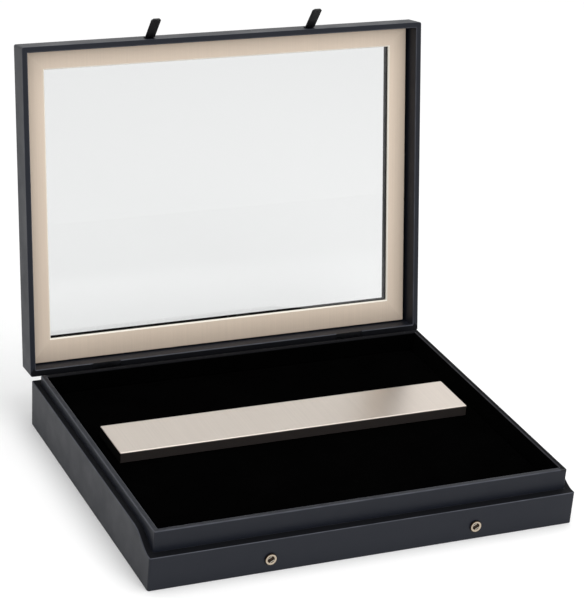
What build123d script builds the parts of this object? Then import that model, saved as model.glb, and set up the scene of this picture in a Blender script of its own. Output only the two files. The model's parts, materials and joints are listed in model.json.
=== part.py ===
"""Knife display case: a leatherette-covered tray with a raised bar, under a hinged lid with a glass window.

Millimetres, +Z up, +X to the right, -Y to the front. The origin is the centre of the base's underside.
The lid is built as it stands open, leaning back against the stops of its two hinges.
"""
import os
from math import atan, cos, radians, sin

from build123d import *

# Footprint of the case and heights of the base
case_length = 420.0
case_depth = 320.0
side_height = 44.5
front_height = 32.5
liner_height = 53.0

# Outer walls of the base
side_wall = 6.5
front_wall = 9.0
rear_wall = 8.0
rear_rake = 5.0
ramp_start = 5.0
ramp_end = 38.0
corner_round = 2.0
top_round = 1.2

# Bottom of the base
felt_thickness = 1.0
felt_margin = 1.0
board_thickness = 5.0

# Tray liner, its velvet lining, the bed and the bar
liner_wall = 5.0
liner_round = 1.0
lining_thickness = 0.8
lining_below_top = 1.2
bed_top = 36.5
bed_round = 1.5
soft_gap = 0.3
bar_length = 358.0
bar_depth = 54.0
bar_height = 10.5
bar_from_front = 157.0
bar_round = 0.8
cover_thickness = 1.0

# Lid, with heights measured from its rim
lid_depth = 26.0
lid_wall = 5.5
lid_rear_wall = 6.5
lid_rear_rake = 3.5
lid_top_round = 2.0
rim_round = 1.0
lid_open_angle = 101.4
seat_gap = 0.3
panel_thickness = 3.5
panel_window_margin = 0.2
glass_thickness = 2.0
glass_overlap = 7.0
glass_gap = 0.5
mat_thickness = 2.0
mat_face_height = 18.0
mat_gap = 2.7
mat_bevel = 1.2
window_length = 365.0
window_from_front = 25.5
window_depth = 263.5

# Hinges
hinge_spread = 263.0
hinge_length = 29.0
hinge_offset = 2.0
knuckle_radius = 1.7
end_knuckle = 8.5
knuckle_gap = 0.2
pin_radius = 0.8
pin_clearance = 0.05
pin_head_radius = 1.3
pin_head = 0.6
leaf_thickness = 1.1
leaf_round = 1.5
mortise_gap = 0.1
base_leaf_height = 15.0
lid_leaf_height = 15.0
lug_width = 8.0
lug_length = 6.5
lug_thickness = 1.2
lug_gap = 0.05
screw_spacing = 18.0
screw_from_axis = 10.0
screw_radius = 1.0
screw_head_radius = 1.8
screw_length = 5.0

# Press-fastener sockets on the base's front wall
fastener_shift = 6.0
snap_spread = 203.5
snap_centre_height = 13.5
snap_radius = 5.7
snap_mouth_radius = 3.3
snap_plate = 0.5
snap_height = 2.0
wire_radius = 0.35
wire_spacing = 4.4
wire_turn = 30.0
post_head_radius = 1.6
post_head = 0.6
post_radius = 1.2
post_length = 6.5
post_clearance = 0.05

# Pull tabs on the lid's front wall
tab_spread = 169.0
tab_above_rim = 8.0
tab_width = 10.0
tab_length = 27.0
tab_thickness = 1.5
tab_corner = 3.5
tab_gap = 0.3
tab_root_height = 4.0
tab_rest_angle = 47.0

half_length = case_length / 2
half_depth = case_depth / 2
board_top = felt_thickness + board_thickness
rim_height = side_height + seat_gap

os.makedirs("parts", exist_ok=True)


def keep(piece, name):
    """Label a finished piece and write it under its own name."""
    piece.part.label = name
    export_step(piece.part, f"parts/{name}.step")


def mitred_frame(half_x, front, rear, side_width, front_width, rear_width):
    """The plan outlines of four members mitred round a rectangle, by the side that each lies on."""
    inner_x = half_x - side_width
    inner_front = front + front_width
    inner_rear = rear - rear_width
    outer = [(-half_x, front), (half_x, front), (half_x, rear), (-half_x, rear)]
    inner = [(-inner_x, inner_front), (inner_x, inner_front), (inner_x, inner_rear), (-inner_x, inner_rear)]
    sides = ["front", "right", "rear", "left"]
    return {side: [outer[i], outer[(i + 1) % 4], inner[(i + 1) % 4], inner[i]] for i, side in enumerate(sides)}


def run_of(side):
    """The axis that a member on this side runs along."""
    return Axis.X if side in ("front", "rear") else Axis.Y


# The lid turns about the line hinge_y, hinge_z. A point of the closed lid swings to its open place.
hinge_y = half_depth + hinge_offset
hinge_z = side_height + seat_gap / 2
hinge_centres = [-hinge_spread / 2, hinge_spread / 2]


def swung_direction(y, z):
    """A direction of the closed lid, as it points with the lid open."""
    turn = radians(lid_open_angle)
    return (0, y * cos(turn) + z * sin(turn), -y * sin(turn) + z * cos(turn))


def swung_point(x, y, height):
    """A point of the closed lid, this high above its rim, where it lies with the lid open."""
    _, dy, dz = swung_direction(y - hinge_y, rim_height + height - hinge_z)
    return (x, hinge_y + dy, hinge_z + dz)


def lid_level(height):
    """The plane this high above the lid's rim, its X and Y those of the closed lid."""
    return Plane(origin=swung_point(0, 0, height), x_dir=(1, 0, 0), z_dir=swung_direction(0, 1))


def lid_section(x):
    """The upright plane across the lid at x, its axes the closed lid's Y and the height above the rim."""
    return Plane(origin=swung_point(x, 0, 0), x_dir=swung_direction(1, 0), z_dir=(1, 0, 0))


def lid_run_of(side):
    """The axis that a lid member on this side runs along."""
    return Axis.X if side in ("front", "rear") else Axis((0, 0, 0), swung_direction(1, 0))


lid_up = Axis(swung_point(0, 0, 0), swung_direction(0, 1))


# The two raked rear faces, with the hinges' leaves on them: X along the case, Y away from the hinge axis
def base_rear_face(x):
    """The base's raked rear face at x."""
    lean = atan(rear_rake / side_height)
    return Plane(origin=(x, half_depth, side_height), x_dir=(1, 0, 0), z_dir=(0, cos(lean), -sin(lean)))


def lid_rear_face(x):
    """The lid's raked rear face at x."""
    lean = atan(lid_rear_rake / lid_depth)
    return Plane(
        origin=swung_point(x, half_depth, 0),
        x_dir=(-1, 0, 0),
        z_dir=swung_direction(cos(lean), sin(lean)),
    )


# Bottom of the base: felt glued under a board that fits between the outer walls
board_front = -half_depth + front_wall
board_rear = half_depth - rear_wall
board_half_length = half_length - side_wall
board_middle = (board_front + board_rear) / 2

with BuildPart() as base_board:
    with BuildSketch(Plane.XY.offset(felt_thickness)):
        with Locations((0, board_middle)):
            Rectangle(2 * board_half_length, board_rear - board_front)
    extrude(amount=board_thickness)
keep(base_board, "base_board")

with BuildPart() as underside_felt:
    with BuildSketch(Plane.XY):
        with Locations((0, board_middle)):
            RectangleRounded(
                2 * (board_half_length - felt_margin), board_rear - board_front - 2 * felt_margin, corner_round
            )
    extrude(amount=felt_thickness)
keep(underside_felt, "underside_felt")

# Outer form of the base: low at the front, with a smooth ramp up to the sides, and a raked rear
with BuildPart() as base_form:
    with BuildSketch(Plane.YZ.offset(-half_length)):
        with BuildLine():
            low = (-half_depth + ramp_start, front_height)
            high = (-half_depth + ramp_end, side_height)
            Polyline((half_depth - rear_rake, 0), (-half_depth, 0), (-half_depth, front_height), low)
            Spline(low, high, tangents=[(1, 0), (1, 0)])
            Polyline(high, (half_depth, side_height), (half_depth - rear_rake, 0))
        make_face()
    extrude(amount=case_length)
    upright = base_form.edges().filter_by(lambda edge: abs(edge.tangent_at(0.5).Z) > 0.9)
    fillet(upright, corner_round)
    tops = base_form.faces().filter_by(lambda face: face.normal_at().Z > 0.5)
    sides = base_form.faces().filter_by(lambda face: abs(face.normal_at().Z) < 0.2)
    fillet(tops.edges() & sides.edges(), top_round)

# Press-fastener posts and hinge screws are driven into blind holes in the walls. The hinges' leaves are let
# into mortises in the two rear rims, as deep as a leaf is thick.
snap_centres = [fastener_shift - snap_spread / 2, fastener_shift + snap_spread / 2]
screw_points = [(-screw_spacing / 2, screw_from_axis), (screw_spacing / 2, screw_from_axis)]
front_face = Plane(origin=(0, -half_depth, snap_centre_height), x_dir=(1, 0, 0), z_dir=(0, -1, 0))
leaf_seat_middle = half_depth - lid_rear_wall / 2
mortise_length = hinge_length + 2 * mortise_gap

outer_walls = mitred_frame(half_length, -half_depth, half_depth, side_wall, front_wall, rear_wall)
for side, outline in outer_walls.items():
    with BuildPart() as base_wall:
        with BuildSketch(Plane.XY):
            with BuildLine():
                Polyline(*outline, close=True)
            make_face()
        extrude(amount=front_height if side == "front" else side_height)
        add(base_form.part, mode=Mode.INTERSECT)
        if side == "front":
            with BuildSketch(front_face):
                with Locations(*[(x, 0) for x in snap_centres]):
                    Circle(post_radius + post_clearance)
            extrude(amount=-post_length, mode=Mode.SUBTRACT)
        if side == "rear":
            for hinge_x in hinge_centres:
                with BuildSketch(base_rear_face(hinge_x)):
                    with Locations(*screw_points):
                        Circle(screw_radius)
                extrude(amount=leaf_thickness - screw_length, mode=Mode.SUBTRACT)
            with BuildSketch(Plane.XY.offset(side_height)):
                with Locations(*[(x, leaf_seat_middle) for x in hinge_centres]):
                    Rectangle(mortise_length, lid_rear_wall)
            extrude(amount=-leaf_thickness, mode=Mode.SUBTRACT)
    keep(base_wall, f"base_{side}_wall")

# Tray liner: four mitred boards that stand inside the outer walls, on the base board
liner_form_height = liner_height - board_top
liners = mitred_frame(board_half_length, board_front, board_rear, liner_wall, liner_wall, liner_wall)
for side, outline in liners.items():
    with BuildPart() as tray_liner:
        with BuildSketch(Plane.XY.offset(board_top)):
            with BuildLine():
                Polyline(*outline, close=True)
            make_face()
        extrude(amount=liner_form_height)
        fillet(tray_liner.edges().filter_by(run_of(side)).group_by(Axis.Z)[-1], liner_round)
    keep(tray_liner, f"tray_liner_{side}")

# Velvet lining: strips glued to the liner, which stop where its top begins to round over
tray_half_length = board_half_length - liner_wall
tray_front = board_front + liner_wall
tray_rear = board_rear - liner_wall
linings = mitred_frame(
    tray_half_length, tray_front, tray_rear, lining_thickness, lining_thickness, lining_thickness
)
for side, outline in linings.items():
    with BuildPart() as velvet_lining:
        with BuildSketch(Plane.XY.offset(board_top)):
            with BuildLine():
                Polyline(*outline, close=True)
            make_face()
        extrude(amount=liner_form_height - lining_below_top)
    keep(velvet_lining, f"velvet_lining_{side}")

# Velvet bed: a block of foam in velvet that fills the tray up to the bed's height
bed_half_length = tray_half_length - lining_thickness - soft_gap
bed_front = tray_front + lining_thickness + soft_gap
bed_rear = tray_rear - lining_thickness - soft_gap
with BuildPart() as velvet_bed:
    with BuildSketch(Plane.XY.offset(board_top)):
        with Locations((0, (bed_front + bed_rear) / 2)):
            Rectangle(2 * bed_half_length, bed_rear - bed_front)
    extrude(amount=bed_top - board_top)
    fillet(velvet_bed.faces().sort_by(Axis.Z)[-1].edges(), bed_round)
keep(velvet_bed, "velvet_bed")

# Raised bar: a board that lies on the bed, with a satin-covered card over it
bar_middle = -half_depth + bar_from_front + bar_depth / 2
with BuildPart() as bar_core:
    with BuildSketch(Plane.XY.offset(bed_top)):
        with Locations((0, bar_middle)):
            Rectangle(bar_length, bar_depth)
    extrude(amount=bar_height - cover_thickness)
keep(bar_core, "bar_core")

with BuildPart() as bar_cover:
    with BuildSketch(Plane.XY.offset(bed_top + bar_height - cover_thickness)):
        with Locations((0, bar_middle)):
            Rectangle(bar_length, bar_depth)
    extrude(amount=cover_thickness)
    fillet(bar_cover.faces().sort_by(Axis.Z)[-1].edges(), bar_round)
keep(bar_cover, "bar_cover")

# Press-fastener sockets: a pressed ring with two spring wires across its mouth, riveted to the wall
with BuildPart() as snap_sockets:
    for snap_x in snap_centres:
        centre = (snap_x, -half_depth, snap_centre_height)
        with BuildSketch(Plane(origin=centre, x_dir=(1, 0, 0), z_dir=(0, 0, -1))):
            bore = post_radius + post_clearance
            lip = snap_radius - 1.0
            with BuildLine():
                Polyline((snap_mouth_radius, snap_plate), (bore, snap_plate), (bore, 0), (snap_radius - 0.4, 0))
                ThreePointArc((snap_radius - 0.4, 0), (snap_radius, snap_height / 2), (lip, snap_height))
                Line((lip, snap_height), (snap_mouth_radius + 0.5, snap_height))
                RadiusArc(
                    (snap_mouth_radius + 0.5, snap_height), (snap_mouth_radius, snap_height - 0.5), -0.5
                )
                Line((snap_mouth_radius, snap_height - 0.5), (snap_mouth_radius, snap_plate))
            make_face()
        revolve(axis=Axis(centre, (0, -1, 0)))
keep(snap_sockets, "snap_sockets")

wire_height = snap_height - 2 * wire_radius
wire_length = 2 * (snap_mouth_radius**2 - (wire_spacing / 2 + wire_radius) ** 2) ** 0.5
with BuildPart() as snap_springs:
    for snap_x in snap_centres:
        wire_way = (cos(radians(wire_turn)), 0, sin(radians(wire_turn)))
        with BuildSketch(
            Plane(origin=(snap_x, -half_depth - wire_height, snap_centre_height), x_dir=(0, 1, 0), z_dir=wire_way)
        ):
            with Locations((0, -wire_spacing / 2), (0, wire_spacing / 2)):
                Circle(wire_radius)
        extrude(amount=wire_length / 2, both=True)
keep(snap_springs, "snap_springs")

with BuildPart() as snap_posts:
    with BuildSketch(front_face.offset(snap_plate)):
        with Locations(*[(x, 0) for x in snap_centres]):
            Circle(post_head_radius)
    extrude(amount=post_head)
    fillet(snap_posts.edges().group_by(Axis.Y)[0], 0.8 * post_head)
    with BuildSketch(front_face.offset(snap_plate)):
        with Locations(*[(x, 0) for x in snap_centres]):
            Circle(post_radius)
    extrude(amount=-snap_plate - post_length)
keep(snap_posts, "snap_posts")

# Outer form of the lid: a shallow box with a raked rear, softly rounded as wrapped leatherette is
with BuildPart() as lid_form:
    with BuildSketch(lid_section(-half_length)):
        with BuildLine():
            Polyline(
                (-half_depth, 0),
                (half_depth, 0),
                (half_depth - lid_rear_rake, lid_depth),
                (-half_depth, lid_depth),
                close=True,
            )
        make_face()
    extrude(amount=case_length)
    levels = lid_form.faces().sort_by(lid_up)
    corners = lid_form.edges() - levels[0].edges() - levels[-1].edges()
    fillet(corners, corner_round)
    fillet(lid_form.faces().sort_by(lid_up)[-1].edges(), lid_top_round)
    fillet(lid_form.faces().sort_by(lid_up)[0].edges(), rim_round)

# Lid walls: four mitred boards that carry the top panel
wall_height = lid_depth - panel_thickness
lid_walls = mitred_frame(half_length, -half_depth, half_depth, lid_wall, lid_wall, lid_rear_wall)
for side, outline in lid_walls.items():
    with BuildPart() as lid_side:
        with BuildSketch(lid_level(0)):
            with BuildLine():
                Polyline(*outline, close=True)
            make_face()
        extrude(amount=wall_height)
        rim_edges = lid_side.edges().filter_by(lid_run_of(side)).group_by(lid_up)[0]
        inner_rim = rim_edges.sort_by(lambda edge: edge.length)[0]
        fillet(inner_rim, rim_round)
        add(lid_form.part, mode=Mode.INTERSECT)
        if side == "rear":
            for hinge_x in hinge_centres:
                with BuildSketch(lid_rear_face(hinge_x)):
                    with Locations(*screw_points):
                        Circle(screw_radius)
                extrude(amount=leaf_thickness - screw_length, mode=Mode.SUBTRACT)
            with BuildSketch(lid_level(0)):
                with Locations(*[(x, leaf_seat_middle) for x in hinge_centres]):
                    Rectangle(mortise_length, lid_rear_wall)
            extrude(amount=leaf_thickness, mode=Mode.SUBTRACT)
    keep(lid_side, f"lid_{side}_wall")

# Top panel of the lid, with its window, and the glass pane glued against its inside
window_middle = -half_depth + window_from_front + window_depth / 2
opening_length = window_length + 2 * panel_window_margin
opening_depth = window_depth + 2 * panel_window_margin
with BuildPart() as lid_top_panel:
    with BuildSketch(lid_level(wall_height)):
        Rectangle(case_length, case_depth)
        with Locations((0, window_middle)):
            Rectangle(opening_length, opening_depth, mode=Mode.SUBTRACT)
    extrude(amount=panel_thickness)
    fillet(lid_top_panel.faces().sort_by(lid_up)[-1].inner_wires()[0].edges(), rim_round)
    add(lid_form.part, mode=Mode.INTERSECT)
keep(lid_top_panel, "lid_top_panel")

glass_length = opening_length + 2 * glass_overlap
glass_depth = opening_depth + 2 * glass_overlap
with BuildPart() as glass_pane:
    with BuildSketch(lid_level(wall_height - glass_thickness)):
        with Locations((0, window_middle)):
            Rectangle(glass_length, glass_depth)
    extrude(amount=glass_thickness)
keep(glass_pane, "glass_pane")

# Packing strips that fill the space between the pane and the walls, and carry the mat
mat_half_length = half_length - lid_wall - mat_gap
mat_front = -half_depth + lid_wall + mat_gap
mat_rear = half_depth - lid_rear_wall - mat_gap
packing_bottom = mat_face_height + mat_thickness
packing = mitred_frame(
    mat_half_length,
    mat_front,
    mat_rear,
    mat_half_length - glass_length / 2 - glass_gap,
    window_middle - glass_depth / 2 - glass_gap - mat_front,
    mat_rear - window_middle - glass_depth / 2 - glass_gap,
)
for side, outline in packing.items():
    with BuildPart() as packing_strip:
        with BuildSketch(lid_level(packing_bottom)):
            with BuildLine():
                Polyline(*outline, close=True)
            make_face()
        extrude(amount=wall_height - packing_bottom)
    keep(packing_strip, f"packing_strip_{side}")

# Mat: a satin-covered board glued to the strips, its window cut with a bevel
with BuildPart() as mat:
    with BuildSketch(lid_level(mat_face_height)):
        with Locations((0, (mat_front + mat_rear) / 2)):
            Rectangle(2 * mat_half_length, mat_rear - mat_front)
        with Locations((0, window_middle)):
            Rectangle(window_length, window_depth, mode=Mode.SUBTRACT)
    extrude(amount=mat_thickness)
    chamfer(mat.faces().sort_by(lid_up)[0].inner_wires()[0].edges(), mat_bevel)
keep(mat, "mat")


# Hinges: each has a leaf on the base with two end knuckles, and a leaf on the lid with the middle knuckle.
# A leaf is bent square: one half is let into the rim, the other is screwed to the rear face.
base_knuckles = [(-hinge_length / 2, end_knuckle), (hinge_length / 2 - end_knuckle, end_knuckle)]
middle_width = hinge_length - 2 * end_knuckle
lid_knuckles = [(-middle_width / 2 + knuckle_gap, middle_width - 2 * knuckle_gap)]
base_notches = [(-middle_width / 2, middle_width)]
lid_notches = [
    (-hinge_length / 2, end_knuckle + knuckle_gap),
    (hinge_length / 2 - end_knuckle - knuckle_gap, end_knuckle + knuckle_gap),
]


def across(x):
    """The plane across the hinge axis at x."""
    return Plane(origin=(x, hinge_y, hinge_z), z_dir=(1, 0, 0))


def axis_foot(face):
    """How far the hinge axis lies past the top edge of a rear face, measured along the face."""
    return face.to_local_coords(Vector(face.origin.X, hinge_y, hinge_z)).Y


def hinge_leaf(hinge_x, face, rim, inwards, leaf_height, knuckles, notches):
    """A bent leaf: a plate on a rear face with rolled knuckles, notched where the other leaf's knuckles turn,
    and a plate let into the rim, sunk inwards from it."""
    foot = axis_foot(face)
    notch_height = knuckle_radius + knuckle_gap
    with BuildPart() as leaf:
        with BuildSketch(face):
            with Locations((0, (leaf_height + foot) / 2)):
                Rectangle(hinge_length, leaf_height - foot)
            for start, width in notches:
                with Locations((start + width / 2, foot + notch_height / 2)):
                    Rectangle(width, notch_height, mode=Mode.SUBTRACT)
        extrude(amount=leaf_thickness)
        through = leaf.edges().filter_by(Axis(face.origin, face.z_dir))
        fillet(through.group_by(Axis(face.origin, face.y_dir))[-1], leaf_round)
        for start, width in knuckles:
            with BuildSketch(across(hinge_x + start)):
                Circle(knuckle_radius)
            extrude(amount=width)
        with Locations(face.offset(leaf_thickness)):
            with Locations(*screw_points):
                CounterSinkHole(screw_radius, screw_head_radius, depth=2 * leaf_thickness, counter_sink_angle=90)
        with BuildSketch(rim):
            with Locations((hinge_x, leaf_seat_middle)):
                Rectangle(hinge_length, lid_rear_wall)
        extrude(amount=inwards * leaf_thickness)
    return leaf


def pin_bore(hinge_x):
    """The pin's running bore, right through a hinge."""
    with BuildPart(mode=Mode.PRIVATE) as bore:
        with BuildSketch(across(hinge_x - hinge_length)):
            Circle(pin_radius + pin_clearance)
        extrude(amount=2 * hinge_length)
    return bore.part


for hinge_side, hinge_x in zip(("left", "right"), hinge_centres):
    base_face = base_rear_face(hinge_x)
    lid_face = lid_rear_face(hinge_x)
    with BuildPart() as base_leaf:
        base_rim = Plane.XY.offset(side_height)
        add(hinge_leaf(hinge_x, base_face, base_rim, -1, base_leaf_height, base_knuckles, base_notches).part)
        add(pin_bore(hinge_x), mode=Mode.SUBTRACT)
    keep(base_leaf, f"hinge_base_leaf_{hinge_side}")

    with BuildPart() as lid_leaf:
        add(hinge_leaf(hinge_x, lid_face, lid_level(0), 1, lid_leaf_height, lid_knuckles, lid_notches).part)
        with BuildSketch(base_face.offset(leaf_thickness + lug_gap)):
            with Locations((0, (axis_foot(base_face) + lug_length) / 2)):
                Rectangle(lug_width, lug_length - axis_foot(base_face))
        extrude(amount=lug_thickness)
        add(pin_bore(hinge_x), mode=Mode.SUBTRACT)
    keep(lid_leaf, f"hinge_lid_leaf_{hinge_side}")

    with BuildPart() as hinge_pin:
        pin_start = hinge_x - hinge_length / 2 - pin_clearance
        pin_span = hinge_length + 2 * pin_clearance
        with BuildSketch(across(pin_start)):
            Circle(pin_radius)
        extrude(amount=pin_span)
        with BuildSketch(across(pin_start)):
            Circle(pin_head_radius)
        extrude(amount=-pin_head)
        with BuildSketch(across(pin_start + pin_span)):
            Circle(pin_head_radius)
        extrude(amount=pin_head)
        ends = hinge_pin.faces().filter_by(Axis.X).sort_by(Axis.X)
        chamfer(ends[0].edges() + ends[-1].edges(), pin_head / 2)
    keep(hinge_pin, f"hinge_pin_{hinge_side}")

# Countersunk screws: two in each leaf, driven square to the face that the leaf lies on
for holder, face_at in (("base", base_rear_face), ("lid", lid_rear_face)):
    with BuildPart() as hinge_screws:
        for hinge_x in hinge_centres:
            head_plane = face_at(hinge_x).offset(leaf_thickness)
            with BuildSketch(head_plane):
                with Locations(*screw_points):
                    Circle(screw_head_radius)
            extrude(amount=screw_radius - screw_head_radius, taper=45)
            with BuildSketch(head_plane):
                with Locations(*screw_points):
                    Circle(screw_radius)
            extrude(amount=-screw_length)
    keep(hinge_screws, f"{holder}_hinge_screws")

# Pull tabs: each is a leather strap glued to the lid's front by its root, and bent outwards at a crease
tab_lean = radians(tab_rest_angle)
crease_y = -half_depth - tab_gap - tab_thickness / 2
for tab_side, tab_x in (("left", fastener_shift - tab_spread / 2), ("right", fastener_shift + tab_spread / 2)):
    with BuildPart() as tab_root:
        root_face = Plane(
            origin=swung_point(tab_x, -half_depth, tab_above_rim + tab_thickness / 2 + tab_gap),
            x_dir=(1, 0, 0),
            z_dir=swung_direction(-1, 0),
        )
        with BuildSketch(root_face):
            with Locations((0, tab_root_height / 2)):
                Rectangle(tab_width, tab_root_height)
        extrude(amount=tab_thickness)
        outer_edges = tab_root.faces().sort_by(Axis(root_face.origin, root_face.z_dir))[-1].edges()
        fillet(outer_edges.sort_by(lid_up)[-1], tab_thickness / 2)
    keep(tab_root, f"tab_root_{tab_side}")

    with BuildPart() as pull_tab:
        crease = swung_point(tab_x, crease_y, tab_above_rim)
        _, tab_dy, tab_dz = swung_direction(-sin(tab_lean), -cos(tab_lean))
        tab_plane = Plane(origin=crease, x_dir=(1, 0, 0), z_dir=(0, -tab_dz, tab_dy))
        with BuildSketch(tab_plane.offset(-tab_thickness / 2)):
            with Locations((0, tab_length / 2)):
                Rectangle(tab_width, tab_length)
        extrude(amount=tab_thickness)
        through = pull_tab.edges().filter_by(Axis(tab_plane.origin, tab_plane.z_dir))
        fillet(through.group_by(Axis(tab_plane.origin, tab_plane.y_dir))[-1], tab_corner)
        with BuildSketch(Plane(origin=(tab_x - tab_width / 2, crease[1], crease[2]), z_dir=(1, 0, 0))):
            Circle(tab_thickness / 2)
        extrude(amount=tab_width)
    keep(pull_tab, f"pull_tab_{tab_side}")
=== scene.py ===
import json
from math import cos, radians, sin

import bmesh
import bpy
import numpy as np
from mathutils import Matrix, Vector


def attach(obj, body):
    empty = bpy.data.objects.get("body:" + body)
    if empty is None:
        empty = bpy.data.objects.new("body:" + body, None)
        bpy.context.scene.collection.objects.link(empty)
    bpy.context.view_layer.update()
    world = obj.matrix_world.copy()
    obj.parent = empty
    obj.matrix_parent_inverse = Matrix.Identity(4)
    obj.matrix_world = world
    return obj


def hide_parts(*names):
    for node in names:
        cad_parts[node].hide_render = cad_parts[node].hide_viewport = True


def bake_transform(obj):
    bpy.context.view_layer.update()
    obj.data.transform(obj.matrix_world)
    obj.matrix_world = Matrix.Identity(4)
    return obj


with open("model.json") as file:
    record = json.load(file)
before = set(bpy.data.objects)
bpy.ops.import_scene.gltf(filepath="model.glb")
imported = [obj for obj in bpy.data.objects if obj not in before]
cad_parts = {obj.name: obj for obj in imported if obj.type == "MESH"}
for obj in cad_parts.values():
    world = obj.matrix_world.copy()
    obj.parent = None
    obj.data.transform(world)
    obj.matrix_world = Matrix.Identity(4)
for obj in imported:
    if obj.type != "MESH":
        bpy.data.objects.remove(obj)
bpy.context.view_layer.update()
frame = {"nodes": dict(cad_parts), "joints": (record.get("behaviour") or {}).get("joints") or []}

# Outer walls of the base: four fibreboard walls under one charcoal leatherette, low at the front with a ramp up to
# the sides. The sheet is drawn over the softly rounded top edges and folded at each corner. The ledge beside the
# liner is darker and duller: painted shade, for the liner's shadow on it and the dark liner that it mirrors.


def hex_to_linear(code):
    """The linear colour of an sRGB hex value: a power of 2.4 above its short straight foot."""
    shares = np.array([int(code[i:i + 2], 16) for i in (1, 3, 5)]) / 255
    linear = np.where(shares <= 0.04045, shares / 12.92, ((shares + 0.055) / 1.055) ** 2.4)
    return (*linear.tolist(), 1.0)


def node(tree, kind, inputs=None, **settings):
    """Adds a shader node, sets its properties, and fills its inputs with values or with other nodes' outputs."""
    made = tree.nodes.new(kind)
    for name, value in settings.items():
        setattr(made, name, value)
    for name, value in (inputs or {}).items():
        if isinstance(value, bpy.types.NodeSocket):
            tree.links.new(value, made.inputs[name])
        else:
            made.inputs[name].default_value = value
    return made


def finish(name, colour, **inputs):
    """Starts a material on its Principled shader, with the constant sockets that are given by name."""
    made = bpy.data.materials.new(name)
    made.use_nodes = True
    shader = made.node_tree.nodes["Principled BSDF"]
    shader.inputs["Base Color"].default_value = hex_to_linear(colour)
    for socket, value in inputs.items():
        shader.inputs[socket.replace("_", " ")].default_value = value
    return made, made.node_tree, shader


arc_columns, side_columns = 9, 39
corner_rows = 8


def rectangles(sizes):
    """Rounded rectangles in plan, one for each row (half length, front, rear, corner radius). A corner is a quarter
    circle of nine columns. A straight side is stepped by cosine shares of its length, closer near the corners, so
    that a column keeps to the same mitre in every row."""
    half, front, rear, radius = np.moveaxis(np.asarray(sizes, float)[:, :4, None], 1, 0)
    middle_x = np.hstack([half - radius, radius - half, radius - half, half - radius])
    middle_y = np.hstack([rear - radius, rear - radius, front + radius, front + radius])
    angle = np.radians(90 * np.arange(4)[:, None] + np.linspace(0, 90, arc_columns))
    arcs = np.stack([middle_x[..., None] + radius[..., None] * np.cos(angle),
                     middle_y[..., None] + radius[..., None] * np.sin(angle)], -1)
    share = (1 - np.cos(np.linspace(0, np.pi, side_columns + 2)[1:-1])) / 2
    start, end = arcs[:, :, -1:], np.roll(arcs, -1, axis=1)[:, :, :1]
    straights = start + (end - start) * share[:, None]
    loop = np.concatenate([arcs, straights], axis=2).reshape(len(half), -1, 2)
    return np.concatenate([loop, loop[:, :1]], axis=1)


def rounded_section(corners, closed=True):
    """The rows of a section carried round the case, from its corners (half length, front, rear, corner radius,
    height, edge radius). Each corner becomes a quarter round from the way that the section comes in to the way that
    it goes out: C - r(1 - sin a) in + r(1 - cos a) out, with one more row half a radius before and after it. Returns
    the rows (half length, front, rear, corner radius, height) and how much of each lies on a rounded edge."""
    corners = np.array(corners, float)
    place, edge = corners[:, :5], corners[:, 5]
    ahead = np.roll(place, -1, axis=0) - place
    flat = np.abs(ahead[:, 0]) > np.abs(ahead[:, 4])
    inwards = np.sign(ahead[:, :1]) * np.array([1, -1, 1, 1, 0])
    upright = ahead / np.maximum(np.abs(ahead[:, 4:]), 1e-9)
    upright[:, 3] = 0
    out = np.where(flat[:, None], inwards, upright)
    into = np.roll(out, 1, axis=0)
    angle = np.radians(np.linspace(0, 90, corner_rows - 2))[:, None]
    rows, rub_and_highlight = [], []
    last = len(corners) - 1
    for i, (corner, radius) in enumerate(zip(place, edge)):
        if not closed and i in (0, last):
            rows.append(corner[None])
            rub_and_highlight.append([0.0])
            continue
        arc = corner - radius * (1 - np.sin(angle)) * into[i] + radius * (1 - np.cos(angle)) * out[i]
        rows.append(np.vstack([corner - 1.5 * radius * into[i], arc, corner + 1.5 * radius * out[i]]))
        rub_and_highlight.append(np.r_[0, np.sin(2 * angle[:, 0]) ** 0.5, 0])
    if closed:
        rows.append(rows[0][:1])
        rub_and_highlight.append(rub_and_highlight[0][:1])
    rows = np.vstack(rows)
    rows[:, 3] = np.maximum(rows[:, 3], 1e-5)
    return rows, np.concatenate(rub_and_highlight)


def ring(rows):
    """The points of a section carried round the case: each row's rectangle at its height."""
    plan = rectangles(rows)
    height = np.broadcast_to(rows[:, 4, None, None], (*plan.shape[:2], 1))
    return np.concatenate([plan, height], axis=2)


def bands_between(rows, first, last):
    """One number for each row of faces: 1 from one row of points to another, and 0 elsewhere."""
    band = np.arange(len(rows) - 1)
    return ((band >= first) & (band < last)).astype(int)


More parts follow.
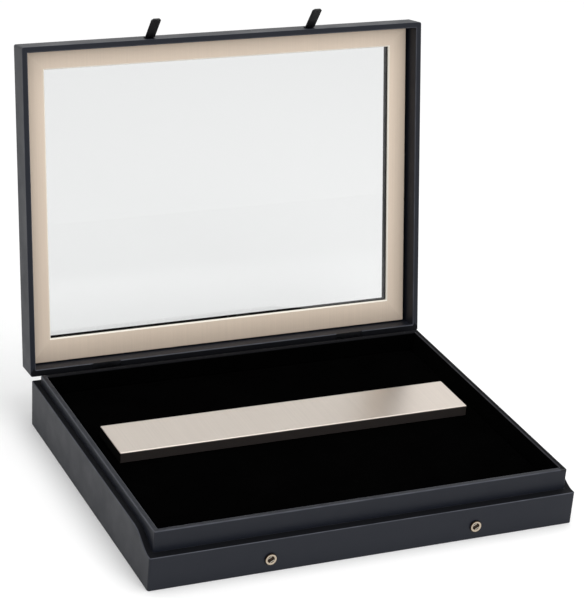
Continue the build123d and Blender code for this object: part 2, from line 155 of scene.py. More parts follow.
def skin(name, points, finishes, marks=None, bands=None):
    """A mesh from a grid of points, rows by columns. marks are named values per point for the materials to read, and
    bands says which finish each row of faces takes. Points that meet at a seam or a pole are merged, the faces are
    then turned outwards, and edges sharper than 50 degrees stay crisp."""
    rows, columns = points.shape[:2]
    index = np.arange(rows * columns).reshape(rows, columns)
    quads = np.stack([index[:-1, :-1], index[:-1, 1:], index[1:, 1:], index[1:, :-1]], -1).reshape(-1, 4)
    mesh = bpy.data.meshes.new(name)
    mesh.from_pydata(points.reshape(-1, 3).tolist(), [], quads.tolist())
    for mark, values in (marks or {}).items():
        held = mesh.attributes.new(mark, "FLOAT", "POINT")
        spread = np.ascontiguousarray(np.broadcast_to(values, (rows, columns)), np.float32)
        held.data.foreach_set("value", spread.ravel())
    for each in finishes:
        mesh.materials.append(each)
    if bands is not None:
        mesh.polygons.foreach_set("material_index", np.repeat(np.asarray(bands, np.int32), columns - 1))
    whole = bmesh.new()
    whole.from_mesh(mesh)
    bmesh.ops.remove_doubles(whole, verts=whole.verts, dist=1e-6)
    bmesh.ops.dissolve_degenerate(whole, edges=whole.edges, dist=1e-7)
    bmesh.ops.recalc_face_normals(whole, faces=whole.faces)
    whole.to_mesh(mesh)
    whole.free()
    mesh.shade_smooth()
    mesh.set_sharp_from_angle(angle=radians(50))
    piece = bpy.data.objects.new(name, mesh)
    bpy.context.scene.collection.objects.link(piece)
    return piece


def leatherette(name, colour, roughness, lacquer):
    """Embossed leatherette, PVC on cloth: a blue-black skin whose tone is partly the sheen of a satin lacquer. The
    pebbles are cells of the grain's size, pushed about by noise at half that size, the sheet swells and sinks over
    25 mm, and the drawn-over edges are made paler in patches of 18 mm, partly as rub wear and partly as a painted
    highlight."""
    grain = 0.0009
    swells, rubbed_and_lit_patches = 40.0, 55.0
    made, tree, shader = finish(name, colour, Roughness=roughness, Specular_IOR_Level=lacquer)
    place = node(tree, "ShaderNodeTexCoord").outputs["Object"]
    wander = node(tree, "ShaderNodeTexNoise", {"Vector": place, "Scale": 0.45 / grain, "Detail": 2.0})
    push = node(tree, "ShaderNodeVectorMath", {0: wander.outputs["Color"], "Scale": 0.5 * grain}, operation="SCALE")
    cells = node(tree, "ShaderNodeVectorMath", {0: place, 1: push.outputs["Vector"]})
    pebbles = node(tree, "ShaderNodeTexVoronoi", {"Vector": cells.outputs["Vector"], "Scale": 1 / grain},
                   feature="SMOOTH_F1")
    pebbles.inputs["Smoothness"].default_value = 0.35
    swell = node(tree, "ShaderNodeTexNoise", {"Vector": place, "Scale": swells, "Detail": 3.0})
    relief = node(tree, "ShaderNodeMath", {0: pebbles.outputs["Distance"], 1: -0.7, 2: swell.outputs["Fac"]},
                  operation="MULTIPLY_ADD")
    bump = node(tree, "ShaderNodeBump", {"Height": relief.outputs[0], "Strength": 0.35, "Distance": 0.0001})
    tree.links.new(bump.outputs["Normal"], shader.inputs["Normal"])
    # Painted highlight: the rounded edges are made paler, partly as rub wear and partly for the light that they
    # catch.
    rub_and_highlight = node(tree, "ShaderNodeAttribute", attribute_name="rub_and_highlight")
    patches = node(tree, "ShaderNodeTexNoise", {"Vector": place, "Scale": rubbed_and_lit_patches, "Detail": 4.0})
    worn = node(tree, "ShaderNodeMath", {0: rub_and_highlight.outputs["Fac"], 1: patches.outputs["Fac"]}, operation="MULTIPLY")
    r, g, b, _ = hex_to_linear(colour)
    rubbed_and_lit = (r * 3 + 0.07, g * 3 + 0.07, b * 3 + 0.075, 1)
    shade = node(tree, "ShaderNodeMix", {"Factor": worn.outputs[0], "A": (r, g, b, 1), "B": rubbed_and_lit},
                 data_type="RGBA")
    tree.links.new(shade.outputs["Result"], shader.inputs["Base Color"])
    gloss = node(tree, "ShaderNodeMapRange", {"Value": swell.outputs["Fac"], "From Min": 0.3, "From Max": 0.7,
                                              "To Min": roughness - 0.05, "To Max": roughness + 0.05})
    tree.links.new(gloss.outputs["Result"], shader.inputs["Roughness"])
    return made


case_leatherette = leatherette("embossed_leatherette", "#171a22", 0.46, 0.23)
painted_shade_leatherette = leatherette("painted_shade_leatherette", "#0b0c10", 0.7, 0.1)

side_height, front_height = 0.0445, 0.0325
ramp_start, ramp_end = -0.155, -0.122
wall_foot, wall_top = 0.0002, side_height - 0.00005
base_rows, base_rub_and_highlight = rounded_section([
    (0.2100, -0.1600, 0.1550, 0.0020, wall_foot, 0.0006),
    (0.2100, -0.1600, 0.1600, 0.0020, wall_top, 0.0009),
    (0.2036, -0.1511, 0.1521, 0.0005, wall_top, 0.0005),
    (0.2036, -0.1511, 0.1521, 0.0005, wall_foot, 0.0004),
])


def ramped(points):
    """Brings the heights down towards the front: the top follows a smooth S between the ramp's two ends, and what
    lies below it comes down in proportion."""
    share = np.clip((points[..., 1] - ramp_start) / (ramp_end - ramp_start), 0, 1)
    top = front_height + (side_height - front_height) * share ** 2 * (3 - 2 * share)
    lowered = points.copy()
    lowered[..., 2] *= top / side_height
    return lowered


base_points = ramped(ring(base_rows))
column = np.arange(base_points.shape[1])
one_side = arc_columns + side_columns
corner_column = (column % one_side == arc_columns // 2) & (column < 4 * one_side)


def press_folds(points, rows, depth):
    """Presses a fold of that depth into the rows that are chosen, along the middle of each of the four corners."""
    points[..., 2] -= depth * corner_column[None, :] * rows[:, None]


press_folds(base_points, base_rows[:, 4] > side_height - 0.0003, 0.00015)
# Painted shade: the rows from the top's inner edge down beside the liner take the darker leatherette.
ledge_start, inner_foot = 2 * corner_rows - 2, 3 * corner_rows
base_wrap = skin("base_wrap", base_points, [case_leatherette, painted_shade_leatherette], {"rub_and_highlight": base_rub_and_highlight[:, None]},
                 bands=bands_between(base_rows, ledge_start, inner_foot))
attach(base_wrap, "base")
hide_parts("base_front_wall", "base_left_wall", "base_rear_wall", "base_right_wall")

# Bottom of the base: a raw fibreboard panel let in between the walls, and a thin pressed felt glued under it. The
# felt's cut edge is a little soft and hairy, and it is what the case stands on.


def fibrous(name, colour, per_mm, detail, strength, depth, tones=None, distortion=0.0, **sockets):
    """A matt surface of fibres or brush marks: felt, board, paper or paint. Noise with that many marks to the
    millimetre raises it by a share of the depth, and where there are two tones it turns one into the other."""
    made, tree, shader = finish(name, colour, **sockets)
    place = node(tree, "ShaderNodeTexCoord").outputs["Object"]
    fibres = node(tree, "ShaderNodeTexNoise", {"Vector": place, "Scale": 1000 * per_mm, "Detail": detail,
                                               "Distortion": distortion}).outputs["Fac"]
    bump = node(tree, "ShaderNodeBump", {"Height": fibres, "Strength": strength, "Distance": depth})
    tree.links.new(bump.outputs["Normal"], shader.inputs["Normal"])
    if tones:
        tone = node(tree, "ShaderNodeMix", {"Factor": fibres, "A": hex_to_linear(tones[0]),
                                            "B": hex_to_linear(tones[1])}, data_type="RGBA")
        tree.links.new(tone.outputs["Result"], shader.inputs["Base Color"])
    return made


def coat(part, made):
    """Gives a CAD node that stays in view its finish."""
    part.data.materials.clear()
    part.data.materials.append(made)


board = fibrous("raw_fibreboard", "#8a6f52", 0.9, 4.0, 0.4, 0.0001, tones=("#7a6046", "#9b8163"), Roughness=0.85)
coat(frame["nodes"]["base_board"], board)
felt = fibrous("pressed_felt", "#1a1b1e", 0.7, 6.0, 0.6, 0.0003, tones=("#121316", "#26272b"), distortion=1.5,
               Roughness=0.95, Specular_IOR_Level=0.2, Sheen_Weight=0.25, Sheen_Roughness=0.5)


def slab(sizes, low, high, low_edge, high_edge):
    """The rows of a closed board or pad: from a line along the middle of its underside, out round both of its edges,
    and back to the same line on top."""
    half, front, rear, radius = sizes
    across = (rear - front) / 2
    ridge = (half - across, front + across, front + across, 0)
    rows, _ = rounded_section([
        (*ridge, low, 0),
        (half, front, rear, radius, low, low_edge),
        (half, front, rear, radius, high, high_edge),
        (*ridge, high, 0),
    ], closed=False)
    return rows


felt_rows = slab((0.2025, -0.1500, 0.1510, 0.0020), 0.0, 0.00095, 0.0002, 0.0003)
underside_felt = skin("felt_sheet", ring(felt_rows), [felt])
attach(underside_felt, "base")
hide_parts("underside_felt")

# Tray liner: four thin boards in the same leatherette, standing inside the outer walls and 8.5 mm above them, so
# that the closed lid drops over them. The tops of the rear and right boards are darker and duller: painted shade,
# for the lid's shadow and the dark lid walls that they mirror.
liner_leatherette = leatherette("liner_leatherette", "#151820", 0.44, 0.23)
painted_shade_top_leatherette = leatherette("painted_shade_top_leatherette", "#0e0e11", 0.8, 0.1)
liner_inner, rear_board, liner_foot, liner_top = 0.1985, 0.1465, 0.0061, 0.0530
liner_rows, liner_rub_and_highlight = rounded_section([
    (0.2035, -0.1510, 0.1520, 0.0008, liner_foot, 0.0004),
    (0.2035, -0.1510, 0.1520, 0.0008, liner_top, 0.0010),
    (liner_inner, -0.1460, 0.1470, 0.0004, liner_top, 0.0010),
    (liner_inner, -0.1460, 0.1470, 0.0004, liner_foot, 0.0004),
])
liner_points = ring(liner_rows)
press_folds(liner_points, liner_rows[:, 4] > liner_top - 0.0001, 0.00012)
near_top = liner_top - 0.0020
x, y, z = np.moveaxis(liner_points, -1, 0)
rear_top = (y > rear_board) & (z > near_top) & (np.abs(x) < liner_inner)
# Painted shade: the rear board's top gets no painted edge highlight.
liner_wrap = skin("liner_wrap", liner_points, [liner_leatherette, painted_shade_top_leatherette],
                  {"rub_and_highlight": np.where(rear_top, 0, liner_rub_and_highlight[:, None])})
# Painted shade: the rear and right tops take the darker, duller leatherette.
for face in liner_wrap.data.polygons:
    x, y, z = face.center
    if z > near_top and (y > rear_board and x > -liner_inner or liner_inner < x < 0.2030):
        face.material_index = 1
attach(liner_wrap, "base")
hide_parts("tray_liner_front", "tray_liner_left", "tray_liner_rear", "tray_liner_right")

# Velvet lining: black short-pile velvet glued to the liner's inner faces, its edge tucked just under the liner's
# rounded top.


def velvet(name, sheen):
    """Black velvet: its pile swallows nearly all light, but for a little sheen where the fibres are seen end on. The
    pile is drawn at 1.4 tufts to the millimetre, and the nap is brushed unevenly, so its tone wanders over 45 mm."""
    tufts, brushed_patches = 1400.0, 22.0
    made, tree, shader = finish(name, "#020202", Roughness=1.0, Specular_IOR_Level=0.0, Sheen_Weight=sheen,
                                Sheen_Roughness=0.3)
    place = node(tree, "ShaderNodeTexCoord").outputs["Object"]
    pile = node(tree, "ShaderNodeTexNoise", {"Vector": place, "Scale": tufts, "Detail": 3.0})
    nap = node(tree, "ShaderNodeTexNoise", {"Vector": place, "Scale": brushed_patches, "Detail": 4.0,
                                            "Roughness": 0.6})
    tone = node(tree, "ShaderNodeMix", {"Factor": nap.outputs["Fac"], "A": hex_to_linear("#010101"),
                                        "B": hex_to_linear("#040404")}, data_type="RGBA")
    tree.links.new(tone.outputs["Result"], shader.inputs["Base Color"])
    bump = node(tree, "ShaderNodeBump", {"Height": pile.outputs["Fac"], "Strength": 0.5, "Distance": 0.0003})
    tree.links.new(bump.outputs["Normal"], shader.inputs["Normal"])
    return made


bed_velvet = velvet("bed_velvet", 0.002)
lining_velvet = velvet("lining_velvet", 0.03)

lining_foot, lining_top = 0.0062, 0.0520
lining_rows, _ = rounded_section([
    (0.1985, -0.1460, 0.1470, 0.0004, lining_foot, 0.0002),
    (0.1985, -0.1460, 0.1470, 0.0004, lining_top, 0.0002),
    (0.1977, -0.1452, 0.1462, 0.0004, lining_top, 0.0003),
    (0.1977, -0.1452, 0.1462, 0.0004, lining_foot, 0.0002),
])
velvet_lining = skin("velvet_lining", ring(lining_rows), [lining_velvet])
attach(velvet_lining, "base")
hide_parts("velvet_lining_front", "velvet_lining_left", "velvet_lining_rear",
            "velvet_lining_right")

# Velvet bed: a foam block wrapped in the same velvet, pressed down into the tray. It swells a little between its
# tucked edges, and the bar presses it flat.
bed_half, bed_front, bed_rear, bed_foot, bed_top = 0.1966, -0.1441, 0.1451, 0.0062, 0.0363
bar_half, bar_front, bar_rear = 0.1790, -0.0030, 0.0510
bed_rows = slab((bed_half, bed_front, bed_rear, 0.003), bed_foot, bed_top, 0.002, 0.003)
velvet_bed = skin("velvet_bed_pad", ring(bed_rows), [bed_velvet])


def swell(pad, pressure, frames, cap):
    """Cloth simulation of a pad: its skin is remeshed at 6 mm and blown up by the pressure for some frames. Each
    point above 10 mm then keeps its rise up to the cap, none within 2 mm of the bar and all of it 20 mm further out,
    and the sides keep 0.4 mm."""
    underside, side_cap, clear_of_bar, eased_over = 0.01, 0.0004, 0.002, 0.02
    bpy.context.view_layer.objects.active = pad
    remesh = pad.modifiers.new("Remesh", "REMESH")
    remesh.mode, remesh.voxel_size = "VOXEL", 0.006
    bpy.ops.object.modifier_apply(modifier=remesh.name)
    before = np.empty(len(pad.data.vertices) * 3)
    pad.data.vertices.foreach_get("co", before)
    cloth = pad.modifiers.new("Cloth", "CLOTH")
    cloth.settings.use_pressure = True
    cloth.settings.uniform_pressure_force = pressure
    cloth.settings.effector_weights.gravity = 0
    for step in range(1, frames + 1):
        bpy.context.scene.frame_set(step)
    bpy.ops.object.modifier_apply(modifier=cloth.name)
    after = np.empty_like(before)
    pad.data.vertices.foreach_get("co", after)
    before, after = before.reshape(-1, 3), after.reshape(-1, 3)
    move = np.clip(after - before, -cap, cap)
    x, y, z = before.T
    beyond = np.maximum.reduce([np.abs(x) - bar_half, bar_front - y, y - bar_rear, np.zeros_like(x)])
    free = np.clip((beyond - clear_of_bar) / eased_over, 0, 1)
    move[:, 2] = np.where(z > underside, np.clip(move[:, 2], 0, cap) * free * free * (3 - 2 * free), 0)
    move[:, :2] = np.clip(move[:, :2], -side_cap, side_cap)
    pad.data.vertices.foreach_set("co", (before + move).ravel())
    smooth = pad.modifiers.new("Smooth", "SUBSURF")
    smooth.levels = smooth.render_levels = 1
    bpy.ops.object.modifier_apply(modifier=smooth.name)
    pad.data.shade_smooth()
    bpy.context.scene.frame_set(1)


swell(velvet_bed, pressure=4.0, frames=20, cap=0.0011)
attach(velvet_bed, "base")
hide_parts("velvet_bed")

# Raised bar: a board in paper that lies on the bed, with a card in champagne satin glued over its top. The paper's
# dark brown is painted shade for the bar's front face, and its two ends are made near black as painted shade. The
# satin's floats run from front to back, so it mirrors what stands behind it in soft upright streaks.
painted_shade_paper = fibrous("painted_shade_brown_paper", "#231f1d", 0.6, 4.0, 0.3, 0.0001, tones=("#1d1918", "#2c2725"),
                    Roughness=0.5, Specular_IOR_Level=0.5)
painted_shade_end_paper = fibrous("painted_shade_black_paper", "#080707", 0.6, 4.0, 0.3, 0.0001, Roughness=0.8, Specular_IOR_Level=0.1)
bar_foot, bar_card, bar_top = 0.0365, 0.0460, 0.0470
core_rows = slab((bar_half, bar_front, bar_rear, 0.0006), bar_foot, bar_card, 0.0003, 0.0003)
bar_board = skin("bar_board", ring(core_rows), [painted_shade_paper, painted_shade_end_paper])
# Painted shade: the faces at the bar's two ends take the near-black paper.
for face in bar_board.data.polygons:
    faces_sideways = abs(face.normal.x) > 0.7
    face.material_index = int(faces_sideways)
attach(bar_board, "base")
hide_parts("bar_core")


def shaded(colour, share):
    """The linear colour of an sRGB hex value, times a share, up to white."""
    return (*[min(1, part * share) for part in hex_to_linear(colour)[:3]], 1)


def satin(name, colour, metallic, roughness, floats):
    """Champagne satin with a metallic thread. Floats of that width lie side by side along the weave, some a little
    paler and glossier than their neighbours, with fine ridges between them, and each runs on for about 125 mm."""
    along_the_weave = 8.0
    made, tree, shader = finish(name, colour, Metallic=metallic, Roughness=roughness, Specular_IOR_Level=0.5)
    place = node(tree, "ShaderNodeTexCoord").outputs["Object"]
    along = node(tree, "ShaderNodeMapping", {"Vector": place,
                                             "Scale": (1 / floats, along_the_weave, along_the_weave)})
    threads = node(tree, "ShaderNodeTexNoise", {"Vector": along.outputs["Vector"], "Scale": 1.0, "Detail": 2.0})
    tone = node(tree, "ShaderNodeMix", {"Factor": threads.outputs["Fac"], "A": shaded(colour, 0.93),
                                        "B": shaded(colour, 1.07)}, data_type="RGBA")
    tree.links.new(tone.outputs["Result"], shader.inputs["Base Color"])
    bump = node(tree, "ShaderNodeBump", {"Height": threads.outputs["Fac"], "Strength": 0.25, "Distance": 0.00005})
    tree.links.new(bump.outputs["Normal"], shader.inputs["Normal"])
    gloss = node(tree, "ShaderNodeMapRange", {"Value": threads.outputs["Fac"], "To Min": roughness - 0.04,
                                              "To Max": roughness + 0.04})
    tree.links.new(gloss.outputs["Result"], shader.inputs["Roughness"])
    return made


bar_satin = satin("champagne_satin", "#d8cec4", 0.85, 0.3, 0.0008)
cover_rows = slab((bar_half, bar_front, bar_rear, 0.0006), bar_card, bar_top, 0.0002, 0.0007)
bar_cover = skin("bar_satin_cover", ring(cover_rows), [bar_satin])
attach(bar_cover, "base")
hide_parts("bar_cover")

# Press-fastener sockets: a pressed and plated brass ring with two spring wires across its mouth, held in the front
# wall by a domed rivet. The plating is bright on the crown; the skirt, the bowl and the rivet take a dark brass as
# painted shade, for the contact shadow on the wall and the shade in the bowl.


def turned(profile, centres, axis):
    """A profile of (radius, way along the axis) turned round the axis at each centre. The grid's columns are the
    turns. Returns one grid for each centre."""
    round_it = np.linspace(0, 2 * np.pi, 49)
    axis = Vector(axis).normalized()
    side = axis.orthogonal().normalized()
    up = axis.cross(side)
    spread = profile[:, :1, None] * (np.cos(round_it)[None, :, None] * np.array(side)
                                     + np.sin(round_it)[None, :, None] * np.array(up))
    return [spread + profile[:, 1:, None] * np.array(axis) + np.array(centre) for centre in centres]


def metal(name, colour, roughness, scratch):
    """A plated or plain metal. Fine wear of that scale makes its gloss and its tone uneven."""
    made, tree, shader = finish(name, colour, Metallic=1.0, Roughness=roughness)
    place = node(tree, "ShaderNodeTexCoord").outputs["Object"]
    wear = node(tree, "ShaderNodeTexNoise", {"Vector": place, "Scale": 1 / scratch, "Detail": 5.0})
    gloss = node(tree, "ShaderNodeMapRange", {"Value": wear.outputs["Fac"], "From Min": 0.3, "From Max": 0.7,
                                              "To Min": roughness - 0.07, "To Max": roughness + 0.1})
    tree.links.new(gloss.outputs["Result"], shader.inputs["Roughness"])
    tone = node(tree, "ShaderNodeMix", {"Factor": wear.outputs["Fac"], "A": shaded(colour, 0.8),
                                        "B": shaded(colour, 1.1)}, data_type="RGBA")
    tree.links.new(tone.outputs["Result"], shader.inputs["Base Color"])
    return made


snap_brass = metal("antique_plated_brass", "#c2b4a1", 0.2, 0.0015)
socket_shade = metal("painted_shade_brass", "#3b2f26", 0.45, 0.002)
spring_steel = metal("spring_steel", "#c9c2b4", 0.25, 0.001)
snap_centres = [(-0.09575, -0.160, 0.0135), (0.10775, -0.160, 0.0135)]
socket_profile = np.array([
    (1.3, 0.0), (5.2, 0.0), (5.5, 0.25), (5.66, 0.6), (5.7, 1.0), (5.62, 1.4), (5.4, 1.72), (5.1, 1.92),
    (4.7, 2.0), (4.1, 2.0), (3.75, 1.94), (3.5, 1.78), (3.35, 1.6), (3.3, 1.4), (3.3, 0.9), (3.2, 0.6),
    (3.0, 0.5), (1.3, 0.5), (1.3, 0.0),
]) / 1000
skirt, crown, bowl = 7, 6, 5
# Painted shade: the rows of the skirt and the bowl take the dark brass.
for side, grid in zip(("left", "right"), turned(socket_profile, snap_centres, (0, -1, 0))):
    ring_cap = skin(f"snap_ring_{side}", grid, [snap_brass, socket_shade],
                    bands=[1] * skirt + [0] * crown + [1] * bowl)
    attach(ring_cap, "base")
    if side == "left":
        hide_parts("snap_sockets")
coat(frame["nodes"]["snap_springs"], spring_steel)
# Painted shade: the rivet in the bowl takes the dark brass.
coat(frame["nodes"]["snap_posts"], socket_shade)

# Lid: four mitred walls and a top panel with a window, all under one wrap of the base's leatherette, with the
# window's edge matt black. It is laid out closed, with heights from its rim, and then swung back on the hinges to
# where it rests open.
lid_hinge = next(joint for joint in frame["joints"] if joint["name"] == "lid_hinge")
hinge_y, hinge_z = lid_hinge["pos_m"][1:]
lid_open = radians(max(lid_hinge["range_deg"]))
rim_height = side_height + 0.0003


def swing(points):
    """Turns points of the closed lid, heights from its rim, about the hinge line to where the lid rests open."""
    y, z = points[..., 1] - hinge_y, points[..., 2] + rim_height - hinge_z
    return np.stack([points[..., 0], hinge_y + y * cos(lid_open) + z * sin(lid_open),
                     hinge_z - y * sin(lid_open) + z * cos(lid_open)], -1)


window = (0.1825, -0.1345, 0.1290)
lid_rim, panel_under, panel_top = 0.00005, 0.0225, 0.0260
lid_rows, lid_rub_and_highlight = rounded_section([
    (0.2100, -0.1600, 0.1600, 0.0020, lid_rim, 0.0003),
    (0.2100, -0.1600, 0.1565, 0.0020, panel_top, 0.0020),
    (*window, 0.0006, panel_top, 0.0004),
    (*window, 0.0006, panel_under, 0.0002),
    (0.2045, -0.1545, 0.15355, 0.0005, panel_under, 0.0003),
    (0.2045, -0.1545, 0.15355, 0.0005, lid_rim, 0.0010),
])
lid_points = ring(lid_rows)
press_folds(lid_points, lid_rows[:, 4] < 0.0004, -0.00012)
right_edge_in, foot_edge_in, past_the_middle = 0.0018, 0.0013, 0.1
window_rows = lid_points[2 * corner_rows:4 * corner_rows]
window_rows[..., 0] -= right_edge_in * (window_rows[..., 0] > past_the_middle)
window_rows[..., 1] -= foot_edge_in * (window_rows[..., 1] > past_the_middle)
matt_black = fibrous("matt_black_window_edge", "#090909", 0.5, 3.0, 0.2, 0.0001, Roughness=0.9,
                     Specular_IOR_Level=0.1)
black_from, black_to = 2 * corner_rows + 4, 4 * corner_rows + 3
lid_wrap = skin("lid_wrap", swing(lid_points), [case_leatherette, matt_black, painted_shade_leatherette],
                {"rub_and_highlight": lid_rub_and_highlight[:, None]}, bands=bands_between(lid_rows, black_from, black_to))
foot_rim_height = 0.0535
# Painted shade: the rim's face along the rear wall, which faces forward once the lid is open, takes the darker
# leatherette.
for face in lid_wrap.data.polygons:
    faces_front = face.normal.y < -0.85
    if face.center.z < foot_rim_height and faces_front:
        face.material_index = 2
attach(lid_wrap, "lid")
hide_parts("lid_front_wall", "lid_left_wall", "lid_rear_wall", "lid_right_wall", "lid_top_panel")

# Window: a pane of float glass glued behind the panel's opening, with a faint grey tint, on packing strips whose
# dark brown is painted shade for the gap round the mat.
# Light from the lamps passes the pane, as it does through real glass, less the share that the pane takes.
lamp_share = (0.86, 0.87, 0.86, 1)
glass, tree, shader = finish("float_glass", "#e4e5e5", Roughness=0.0, IOR=1.5, Transmission_Weight=1.0)
path = node(tree, "ShaderNodeLightPath")
clear = node(tree, "ShaderNodeBsdfTransparent", {"Color": lamp_share})
through = node(tree, "ShaderNodeMixShader", {0: path.outputs["Is Shadow Ray"], 1: shader.outputs["BSDF"],
                                             2: clear.outputs["BSDF"]})
tree.links.new(through.outputs["Shader"], tree.nodes["Material Output"].inputs["Surface"])
coat(frame["nodes"]["glass_pane"], glass)
for side in ("front", "left", "rear", "right"):
    coat(frame["nodes"][f"packing_strip_{side}"], painted_shade_paper)

# Mat: a board in champagne satin, 2 mm thick, with its window cut at a bevel that shows the board's white core. A
# dark gap is left between it and the lid's walls.
mat_satin = satin("mat_satin", "#d8c7b5", 0.0, 0.5, 0.0006)
mat_core = fibrous("mat_board_core", "#eee8dc", 0.9, 3.0, 0.3, 0.00005, Roughness=0.8)


def drawn_in(sizes, way):
    """A rectangle (half length, front, rear) drawn in towards its middle by so much, or out by a way below zero."""
    half, front, rear = sizes
    return half - way, front + way, rear - way


mat_back, mat_face = 0.0200, 0.0180
mat_outer, mat_corner, window_corner = (0.2018, -0.1518, 0.1520), 0.0003, 0.0002
softened, hair, bevel = 0.0001, 0.00005, 0.0012
mat_rows = np.array([
    (*mat_outer, mat_corner, mat_back - softened),
    (*mat_outer, mat_corner, mat_face + softened),
    (*drawn_in(mat_outer, softened), mat_corner, mat_face),
    (*drawn_in(window, -bevel - hair), mat_corner, mat_face),
    (*drawn_in(window, -bevel), mat_corner, mat_face),
    (*window, window_corner, mat_face + bevel),
    (*window, window_corner, mat_back - hair),
    (*drawn_in(window, -hair), window_corner, mat_back),
    (*drawn_in(mat_outer, softened), mat_corner, mat_back),
    (*mat_outer, mat_corner, mat_back - softened),
])
satin_bands, core_bands = 4, 5
mat = skin("mat_board", swing(ring(mat_rows)), [mat_satin, mat_core], bands=[0] * satin_bands + [1] * core_bands)
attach(mat, "lid")
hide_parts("mat")

# Hinges: two small stop hinges, let into the rims and screwed to the rear faces, with steel pins and countersunk
# screws. The leaves' brass is made dark grey as a painted reflection of the dark liner and rim that they mirror.
hinge_brass = metal("painted_reflection_brass", "#36373b", 0.35, 0.003)
hinge_steel = metal("nickel_plated_steel", "#8d8b86", 0.25, 0.002)
for name, part in frame["nodes"].items():
    if name.startswith("hinge_") or name.endswith("hinge_screws"):
        coat(part, hinge_brass if "leaf" in name else hinge_steel)

# Pull tabs: a strip of black strap leather each, its root glued to the lid's front wall and the rest bent outwards
# at a crease, with rounded corners at its end. Its pores are drawn at 1.5 to the millimetre.
strap_pores, worn_patches = 1500.0, 120.0
strap, tree, shader = finish("black_strap_leather", "#0d0d0f", Roughness=0.5, Specular_IOR_Level=0.4)
place = node(tree, "ShaderNodeTexCoord").outputs["Object"]
pores = node(tree, "ShaderNodeTexVoronoi", {"Vector": place, "Scale": strap_pores}, feature="SMOOTH_F1")
bump = node(tree, "ShaderNodeBump", {"Height": pores.outputs["Distance"], "Strength": 0.4, "Distance": 0.0001})
tree.links.new(bump.outputs["Normal"], shader.inputs["Normal"])
worn = node(tree, "ShaderNodeTexNoise", {"Vector": place, "Scale": worn_patches, "Detail": 3.0})
tone = node(tree, "ShaderNodeMix", {"Factor": worn.outputs["Fac"], "A": hex_to_linear("#09090b"),
                                    "B": hex_to_linear("#151517")}, data_type="RGBA")
tree.links.new(tone.outputs["Result"], shader.inputs["Base Color"])

crease_y, crease_height, tab_lean = -0.16105, 0.008, radians(47)


def strap_points(x):
    """The strap as a flat section, 10 by 1.5 mm with rounded edges, carried down its root and round the crease along
    its middle line. Past the last corner's centre it narrows as a quarter circle of 1.8 mm does."""
    half_width, half_thickness, soft_edge = 0.005, 0.00075, 0.00055
    root_top, root_lift, bend, reach, corner = 0.01305, 0.0003, 0.0012, 0.027, 0.0018
    tip_steps = 9
    turn = np.linspace(0, tab_lean, 9)
    root = np.stack([np.linspace(crease_y + root_lift, crease_y, 6),
                     np.linspace(root_top, crease_height + bend, 6)], -1)
    arc = np.stack([crease_y - bend * (1 - np.cos(turn)), crease_height + bend - bend * np.sin(turn)], -1)
    way = np.array([-sin(tab_lean), -cos(tab_lean)])
    straight = np.linspace(0.001, reach - 0.002 - corner, 12)
    tip = reach - 0.0010 - corner * np.cos(np.linspace(0, np.pi / 2, tip_steps))
    line = np.vstack([root, arc[1:], arc[-1] + np.r_[straight, tip][:, None] * way])
    tangent = np.gradient(line, axis=0)
    tangent /= np.linalg.norm(tangent, axis=1, keepdims=True)
    across = np.stack([-tangent[:, 1], tangent[:, 0]], -1)
    half = np.full(len(line), half_width)
    half[-tip_steps:] = half_width - corner + corner * np.sin(np.linspace(np.pi / 2, 0, tip_steps))
    angle = np.linspace(0, 2 * np.pi, 33)
    wide = np.sign(np.cos(angle)) * (half[:, None] - soft_edge) + soft_edge * np.cos(angle)
    thick = np.sign(np.sin(angle)) * (half_thickness - soft_edge) + soft_edge * np.sin(angle)
    points = np.stack([x + wide, line[:, None, 0] + thick * across[:, None, 0],
                       line[:, None, 1] + thick * across[:, None, 1]], -1)
    ends = [np.broadcast_to(points[i].mean(0), points[i].shape)[None] for i in (0, -1)]
    return np.concatenate([ends[0], points, ends[1]])


for side, x in (("left", -0.0785), ("right", 0.0905)):
    tab = skin(f"strap_{side}", swing(strap_points(x)), [strap])
    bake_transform(tab)
    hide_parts(f"tab_root_{side}", f"pull_tab_{side}")

# Floor and light: a white studio table in a bright room, under a large softbox and with a smaller one in front,
# which metal and glass don't mirror. The floor and the room are white to the eye, in mirrors and through glass, and
# a little darker as sources of light.
bpy.context.scene.view_settings.view_transform = "Standard"


def seen(tree):
    """1 for what the camera sees, straight, in a mirror or through glass, and 0 for what only gives light."""
    path = node(tree, "ShaderNodeLightPath").outputs
    straight = node(tree, "ShaderNodeMath", {0: path["Is Camera Ray"], 1: path["Is Glossy Ray"]},
                    operation="MAXIMUM")
    return node(tree, "ShaderNodeMath", {0: straight.outputs[0], 1: path["Is Transmission Ray"]},
                operation="MAXIMUM").outputs[0]


floor_finish, tree, shader = finish("white_table", "#e8e8e8", Roughness=1.0, Specular_IOR_Level=0.0)
lift = node(tree, "ShaderNodeEmission", {"Color": (1, 1, 1, 1), "Strength": 0.15})
dark = node(tree, "ShaderNodeEmission", {"Color": (0, 0, 0, 1), "Strength": 0.0})
lifted = node(tree, "ShaderNodeMixShader", {0: seen(tree), 1: dark.outputs[0], 2: lift.outputs[0]})
both = node(tree, "ShaderNodeAddShader", {0: shader.outputs["BSDF"], 1: lifted.outputs[0]})
tree.links.new(both.outputs[0], tree.nodes["Material Output"].inputs["Surface"])
half_table = 6
floor_mesh = bpy.data.meshes.new("table_top")
floor_mesh.from_pydata([(x * half_table, y * half_table, 0) for x, y in ((-1, -1), (1, -1), (1, 1), (-1, 1))],
                       [], [(0, 1, 2, 3)])
floor_mesh.materials.append(floor_finish)
floor = bpy.data.objects.new("table_top", floor_mesh)
bpy.context.scene.collection.objects.link(floor)

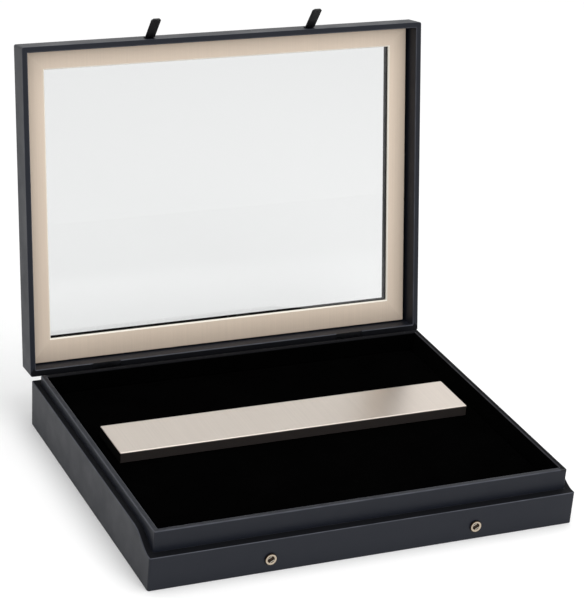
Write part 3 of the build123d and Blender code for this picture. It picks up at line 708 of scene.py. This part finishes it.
world = bpy.data.worlds.new("bright_room")
bpy.context.scene.world = world
world.use_nodes = True
tree = world.node_tree
tree.nodes.clear()
strength = node(tree, "ShaderNodeMapRange", {"Value": seen(tree), "To Min": 0.85, "To Max": 1.0})
sky = node(tree, "ShaderNodeBackground", {"Color": (1, 1, 1, 1), "Strength": strength.outputs["Result"]})
node(tree, "ShaderNodeOutputWorld", {"Surface": sky.outputs["Background"]})

for name, width, height, watts, mirrored, stand, target in (
        ("softbox_overhead", 1.8, 1.4, 18.0, True, (0.5, 0.1, 2.2), (0, 0, 0.1)),
        ("softbox_front", 1.2, 1.0, 15.0, False, (0.3, -2.0, 1.0), (0, 0, 0.2))):
    softbox = bpy.data.lights.new(name, "AREA")
    softbox.shape, softbox.size, softbox.size_y, softbox.energy = "RECTANGLE", width, height, watts
    softbox_holder = bpy.data.objects.new(name, softbox)
    bpy.context.scene.collection.objects.link(softbox_holder)
    softbox_holder.location = stand
    softbox_holder.visible_glossy = softbox_holder.visible_transmission = mirrored
    softbox_holder.rotation_euler = (Vector(target) - Vector(stand)).to_track_quat("-Z", "Y").to_euler()

# Camera: seen from the front left and a little above, with the place, turn and focal length that a fit to the
# case's corners in the photograph gave. Lengths in the picture are in pixels.
picture_width, picture_height = 584, 599
centre_across, centre_down, focal = 242, 250, 2305.91
eye = Vector((-0.87070, -1.71741, 1.06144))
azimuth, pitch, roll = radians(24.9275), radians(23.5283), radians(4.5967)
ahead = Vector((sin(azimuth) * cos(pitch), cos(azimuth) * cos(pitch), -sin(pitch)))
level = Vector((cos(azimuth), -sin(azimuth), 0))
above = level.cross(ahead)
camera_x = cos(roll) * level + sin(roll) * above
camera_y = cos(roll) * above - sin(roll) * level
camera = bpy.data.cameras.new("photograph")
camera.sensor_width = 36
camera.lens = focal * camera.sensor_width / picture_height
camera.shift_x = (picture_width / 2 - centre_across) / picture_height
camera.shift_y = -(picture_height / 2 - centre_down) / picture_height
camera_holder = bpy.data.objects.new("photograph", camera)
bpy.context.scene.collection.objects.link(camera_holder)
camera_holder.matrix_world = Matrix([
    (camera_x[i], camera_y[i], -ahead[i], eye[i]) for i in range(3)] + [(0, 0, 0, 1)])
bpy.context.scene.camera = camera_holder
